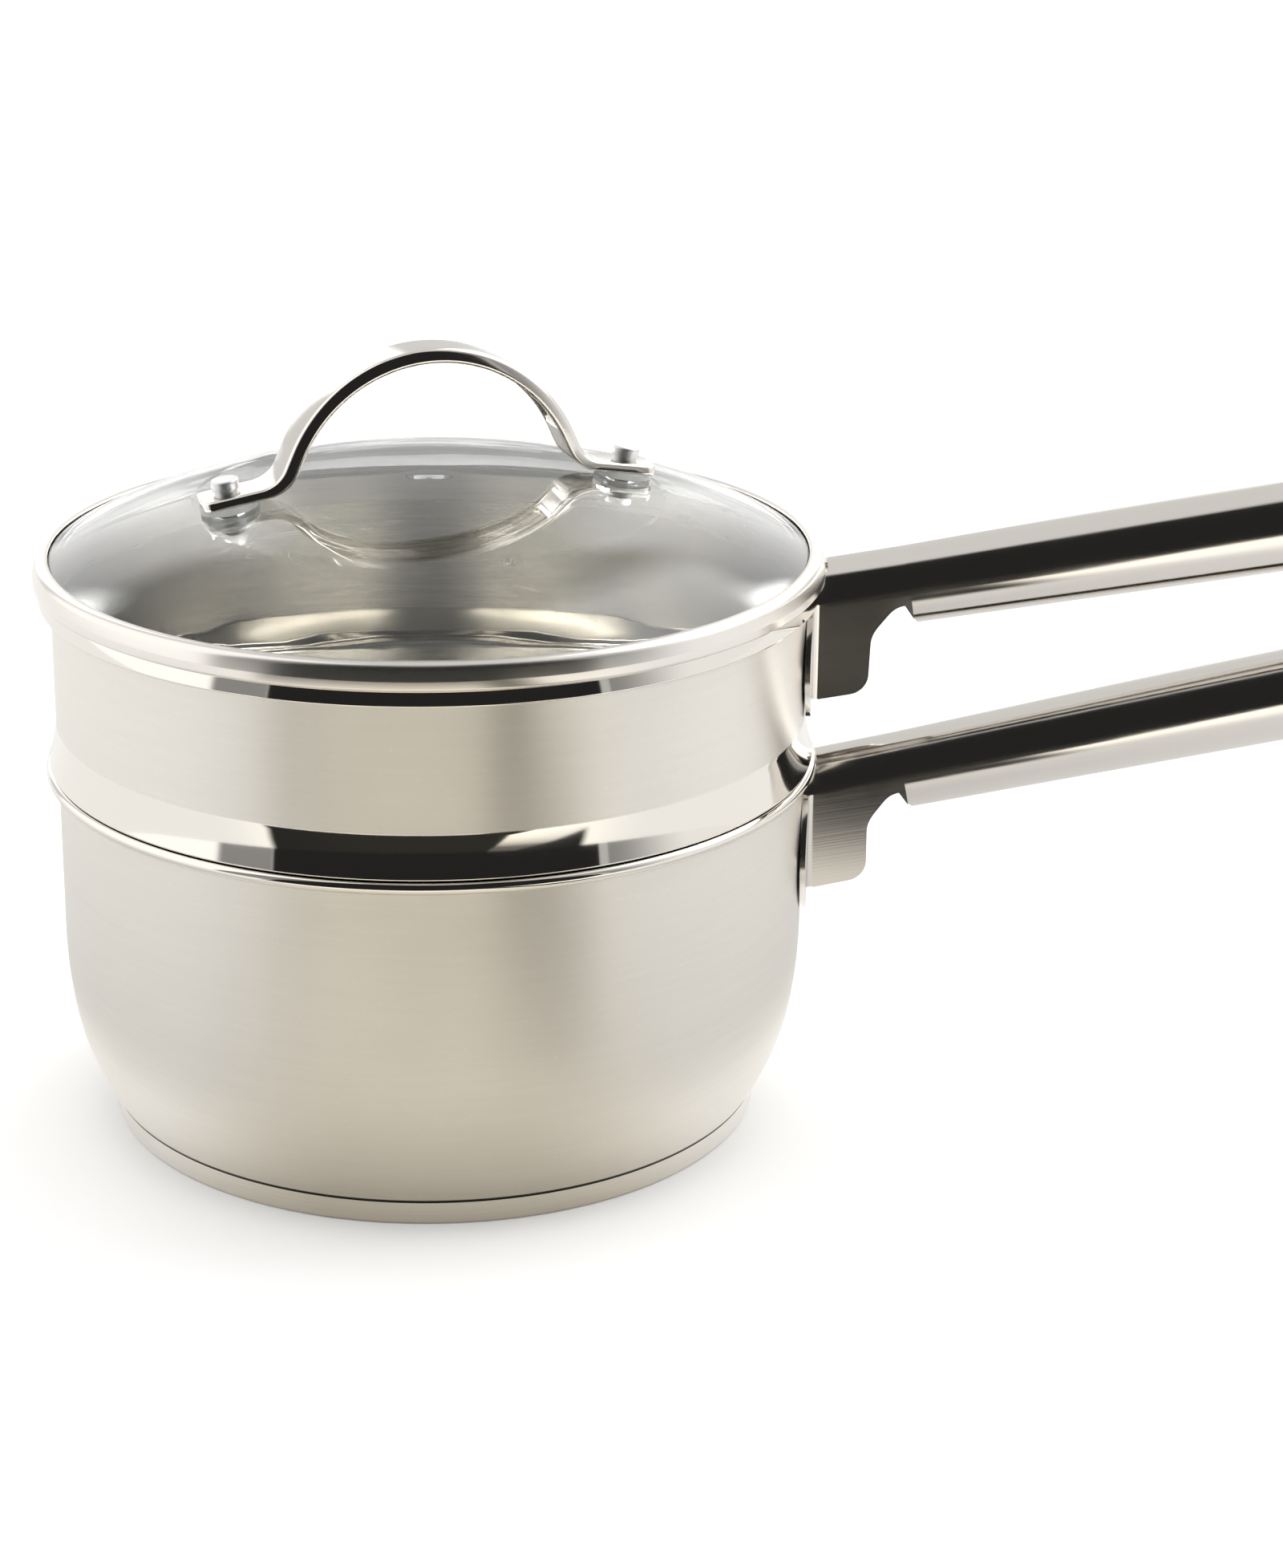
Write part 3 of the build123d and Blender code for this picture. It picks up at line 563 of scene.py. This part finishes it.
for top, low, k in stations:
    depth = hypot(top[0] - low[0], top[1] - low[1])
    into = ((low[0] - top[0]) / depth, (low[1] - top[1]) / depth)
    hollow = max(0.0, min(1.0, (channel_end - k) / channel_fade))
    corner = max(0, k - (len(top_line) - 1 - corner_steps)) / corner_steps
    width = 1 - strap_corner / strap_half_width * (1 - cos(pi / 2 * corner))
    for y, level in section:
        inner = abs(y) < channel_side and level > channel_floor
        level = depth - hollow * (strap_depth - level) if inner else level * depth / strap_depth
        along, across = top[0] + into[0] * level, y * width
        verts.append(((along * cos(strap_turn) - across * sin(strap_turn)) * millimetre,
                      (along * sin(strap_turn) + across * cos(strap_turn)) * millimetre,
                      (top[1] + into[1] * level) * millimetre))
size = len(section)
faces = [[a * size + b, a * size + (b + 1) % size, (a + 1) * size + (b + 1) % size, (a + 1) * size + b]
         for a in range(len(stations) - 1) for b in range(size)]
faces += [list(range(size - 1, -1, -1)), list(range(len(verts) - size, len(verts)))]
mesh = bpy.data.meshes.new("strap")
mesh.from_pydata(verts, [], faces)
weld = 0.000005
trim = bmesh.new()
trim.from_mesh(mesh)
bmesh.ops.remove_doubles(trim, verts=trim.verts, dist=weld)
bmesh.ops.dissolve_degenerate(trim, edges=trim.edges, dist=weld)
bmesh.ops.recalc_face_normals(trim, faces=trim.faces)
trim.to_mesh(mesh)
trim.free()
mesh.shade_smooth()
mesh.set_sharp_from_angle(angle=crease)
along_strap = (0.96, 0.28, 0.0)
strap_steel = polished_steel("strap_steel", along_strap, rough=0.10, mark_depth=0.00003,
                             colour=polish_colour)
mesh.materials.append(strap_steel)
strap = bpy.data.objects.new("strap", mesh)
bpy.context.scene.collection.objects.link(strap)
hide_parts("lid_handle")
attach(strap, "lid")
dress(["lid_backing_washer_left", "lid_backing_washer_right"], strap_steel)

# Rivets. Each is a turned aluminium pin that passes through strap, washers and glass, with a cap pressed
# on its end. They are a dull bright grey with fine turning marks.
rivet_colour = (0.78, 0.785, 0.79, 1.0)
along_pin = (0.0, 0.0, 1.0)
rivet_metal = polished_steel("rivet_aluminium", along_pin, rough=0.45, mark_depth=0.00004,
                             colour=rivet_colour)
dress(["lid_rivet_pin_left", "lid_rivet_pin_right", "lid_rivet_cap_left", "lid_rivet_cap_right"], rivet_metal)

# Soft washers. Clear grey silicone, moulded, above and below the glass at each rivet. They keep the
# metal off the glass.
seal_dark = (0.50, 0.50, 0.48, 1.0)
seal_pale = (0.62, 0.62, 0.60, 1.0)
seal_material, tree, shader = new_material("silicone")
patch = placed(tree, soft_patches, {"Patch Size": 0.004, "Contrast": 1.5})[0]
skin = put(tree, "Bump", {"Height": patch, "Strength": 0.3, "Distance": 0.0001}).outputs[0]
wire(tree, shader, {"Base Color": blend_colour(tree, patch, seal_dark, seal_pale), "Normal": skin},
     {"Roughness": 0.45, "IOR": 1.41, "Transmission Weight": 0.35})
dress(["lid_upper_washer_left", "lid_upper_washer_right", "lid_lower_washer_left",
       "lid_lower_washer_right"], seal_material)

# Floor. A plain white table that runs far back, and the camera sees it plain. What steel mirrors of it
# is a painted reflection: cream near the pot, painted light and shade near its foot, and dark fields to
# the front and right and a dark card, painted as shade. Numbers are in metres or in degrees round, a
# line is (slope, start), and a set of three is (lowest, highest, edge).
floor_half = 6.0
table_white = (0.86, 0.86, 0.86, 1.0)
reflected_cream = (0.90, 0.855, 0.755, 1.0)
bearing_edge = 1.5
front_half = 46.0
front_start = (0.43, 0.47)
handle_line = (-0.25, 0.11)
handle_line_edge = 0.01
front_whole = (-5.2, -5.8)
lane_bearings = (2.0, 43.0)
lane_line = (-0.364, 0.36)
lane_line_edge = 0.03
lane_start = (0.5, 2.2)
lane_level = 0.92
card_across = (0.095, 0.185, 0.01)
card_along = (-0.7, -0.175, 0.03)
card_level = 0.99
dark_level = 0.98
foot_range = (0.135, 0.10)
near_range = (0.24, 0.36)
sides_range = (0.26, 0.36)
near_levels = (0.68, 1.15)
near_foot_level = 0.62
sides_levels = (0.60, 0.74)
sides_foot_level = 1.05
warm_range = (-40.0, 40.0, 25.0)
floor_mesh = bpy.data.meshes.new("floor")
floor_mesh.from_pydata([(-floor_half, -floor_half, 0), (floor_half, -floor_half, 0),
                        (floor_half, floor_half, 0), (-floor_half, floor_half, 0)], [], [(0, 1, 2, 3)])
floor = bpy.data.objects.new("floor", floor_mesh)
bpy.context.scene.collection.objects.link(floor)


def bearing_of(tree, way):
    """The bearing of a direction or a spot in degrees, nought to the front and more to the right."""
    turn = maths(tree, "ARCTAN2", way[0], maths(tree, "MULTIPLY", way[1], -1.0))
    return maths(tree, "MULTIPLY", turn, 180 / pi)


def right_of(tree, spot, slope, start):
    """How far a spot on the floor lies to the right of a slanted line."""
    return maths(tree, "SUBTRACT", spot[0], maths(tree, "MULTIPLY_ADD", spot[1], slope, start))


def field(tree, value, limits, other, other_limits):
    """One where two values are each inside their limits, which are (lowest, highest, edge)."""
    return maths(tree, "MULTIPLY", between(tree, value, *limits), between(tree, other, *other_limits))


floor_white, tree, shader = new_material("floor_white")
place = put(tree, "TexCoord", {}).outputs["Object"]
spot = put(tree, "SeparateXYZ", {0: place}).outputs
distance = put(tree, "VectorMath", {0: place}, operation="LENGTH").outputs["Value"]
bearing = bearing_of(tree, spot)
front = between(tree, bearing, -front_half, front_half, bearing_edge)
front = maths(tree, "MULTIPLY", front, ramp(tree, distance, *front_start))
past_handles = right_of(tree, spot, *handle_line)
left_of_handles = ramp(tree, past_handles, handle_line_edge, -handle_line_edge)
left_of_handles = maths(tree, "MAXIMUM", left_of_handles, ramp(tree, spot[1], *front_whole))
dark = maths(tree, "MULTIPLY", front, left_of_handles)
aside = ramp(tree, right_of(tree, spot, *lane_line), -lane_line_edge, lane_line_edge)
lane = maths(tree, "MAXIMUM", aside, ramp(tree, distance, *lane_start, 0.0, lane_level))
lane = maths(tree, "MULTIPLY", between(tree, bearing, *lane_bearings, bearing_edge), lane)
dark = maths(tree, "MAXIMUM", dark, lane)
# Painted shade: a dark card patch in the floor's reflection, where no card stands.
painted_card_shade = field(tree, spot[0], card_across, spot[1], card_along)
dark = maths(tree, "MAXIMUM", dark, maths(tree, "MULTIPLY", painted_card_shade, card_level))
bright = maths(tree, "SUBTRACT", 1.0, maths(tree, "MULTIPLY", dark, dark_level))
# Painted light and shade in the reflection: levels by distance, the foot darker in front, lighter at the
# sides.
foot = ramp(tree, distance, *foot_range)
near = blend_level(tree, ramp(tree, distance, *near_range), *near_levels)
near = blend_level(tree, foot, near, near_foot_level)
sides = blend_level(tree, ramp(tree, distance, *sides_range), *sides_levels)
sides = blend_level(tree, foot, sides, sides_foot_level)
warm = between(tree, bearing, *warm_range)
bright = maths(tree, "MULTIPLY", bright, blend_level(tree, warm, sides, near))
# The painted reflection, tinted cream to the front, is what glossy rays see. Other rays see plain white.
painted_reflection = shaded(tree, blend_colour(tree, warm, table_white, reflected_cream), bright)
rays = put(tree, "LightPath", {}).outputs
seen = blend_colour(tree, rays["Is Glossy Ray"], table_white, painted_reflection)
wire(tree, shader, {"Base Color": seen}, {"Roughness": 0.8, "Specular IOR Level": 0.0})
floor_mesh.materials.append(floor_white)

# Studio. Soft boxes left, right and overhead, dark behind the camera, so that polished steel shows dark
# bands, with a window at the right and a glow from behind. Under the lid the side boxes are stronger.
# The camera sees a plain pale background. A set of three is (from, to, edge), in degrees round or up.
plain_level = 0.75
dark_front = (-46.5, 48.5, 0.7)
dark_front_level = 0.02
right_edge = (48.5, 51.0, 0.5)
right_edge_level = 0.55
left_edge = (-64.0, -46.5, 0.7)
left_edge_level = 0.30
left_box = (-136.0, -64.0, 2.0)
left_box_level = 1.3
right_box = (51.0, 124.0, 0.5)
right_box_rise = (51.0, 80.0)
right_box_levels = (0.3, 1.0)
overhead_rise = (76, 82)
window_round = (88.0, 160.0, 6.0)
window_height = (22.0, 60.0, 5.0)
window_level = 3.8
glow_round = (150.0, 172.0, 3.0)
glow_height = (2.0, 32.0, 4.0)
glow_level = 2.2
lid_left_box = (-150.0, -52.0, 4.0)
lid_right_box = (48.0, 150.0, 4.0)
lid_box_fall = (36.0, 26.0)
lid_left_to_right = (-1.0, 1.0)
lid_box_levels = (13.0, 17.0)
lid_front = (-46.0, 46.0, 4.0)
lid_back_level = 0.1
lid_front_level = 0.02
lid_overhead_level = 0.3
diffuse_level = 1.5
background_level = 1.0
past_glass = 0.5
light_colour = (1.0, 0.995, 0.985, 1.0)
world = bpy.data.worlds.new("studio")
bpy.context.scene.world = world
world.use_nodes = True
tree = world.node_tree
way = put(tree, "SeparateXYZ", {0: put(tree, "TexCoord", {}).outputs["Generated"]}).outputs
bearing = bearing_of(tree, way)
height = maths(tree, "MULTIPLY", maths(tree, "ARCSINE", way[2]), 180 / pi)
boxes = plain_level
for limits, level in ((dark_front, dark_front_level), (right_edge, right_edge_level),
                      (left_edge, left_edge_level), (left_box, left_box_level)):
    boxes = blend_level(tree, between(tree, bearing, *limits), boxes, level)
graded = ramp(tree, bearing, *right_box_rise, *right_box_levels)
boxes = blend_level(tree, between(tree, bearing, *right_box), boxes, graded)
overhead = ramp(tree, height, *overhead_rise)
boxes = blend_level(tree, overhead, boxes, plain_level)
window = field(tree, bearing, window_round, height, window_height)
boxes = blend_level(tree, window, boxes, window_level)
glow = field(tree, maths(tree, "ABSOLUTE", bearing), glow_round, height, glow_height)
boxes = blend_level(tree, glow, boxes, glow_level)
rays = put(tree, "LightPath", {}).outputs
lid_left = between(tree, bearing, *lid_left_box)
sideways = maths(tree, "MAXIMUM", lid_left, between(tree, bearing, *lid_right_box))
sideways = maths(tree, "MULTIPLY", sideways, ramp(tree, height, *lid_box_fall))
side_level = blend_level(tree, ramp(tree, bearing, *lid_left_to_right), *lid_box_levels)
under_lid = blend_level(tree, between(tree, bearing, *lid_front), lid_back_level, lid_front_level)
under_lid = blend_level(tree, overhead, under_lid, lid_overhead_level)
under_lid = blend_level(tree, sideways, under_lid, side_level)
inside = maths(tree, "GREATER_THAN", rays["Transmission Depth"], past_glass)
boxes = blend_level(tree, inside, boxes, under_lid)
strength = blend_level(tree, rays["Is Diffuse Ray"], boxes, diffuse_level)
strength = blend_level(tree, rays["Is Camera Ray"], strength, background_level)
tree.links.new(strength, tree.nodes["Background"].inputs["Strength"])
tree.nodes["Background"].inputs["Color"].default_value = light_colour
bpy.context.scene.view_settings.view_transform = "Standard"

# Camera. It stands in front of the table, a little above the lid, and looks down on it. Its shift puts
# the pots left of the middle, and the handles run out of the picture.
camera_turn = radians(2.03)
camera_pitch = radians(19.067)
camera_place = (0, -0.8, 0.3671)
view_way = Vector((sin(camera_turn) * cos(camera_pitch), cos(camera_turn) * cos(camera_pitch),
                   -sin(camera_pitch)))
right = Vector((cos(camera_turn), -sin(camera_turn), 0))
upward = right.cross(view_way)
camera_data = bpy.data.cameras.new("camera")
camera_data.lens = 81.82
camera_data.shift_x = 0.0576
camera_data.shift_y = -0.0333
camera = bpy.data.objects.new("camera", camera_data)
facing = Matrix((right, upward, -view_way)).transposed().to_4x4()
camera.matrix_world = Matrix.Translation(camera_place) @ facing
bpy.context.scene.collection.objects.link(camera)
bpy.context.scene.camera = camera
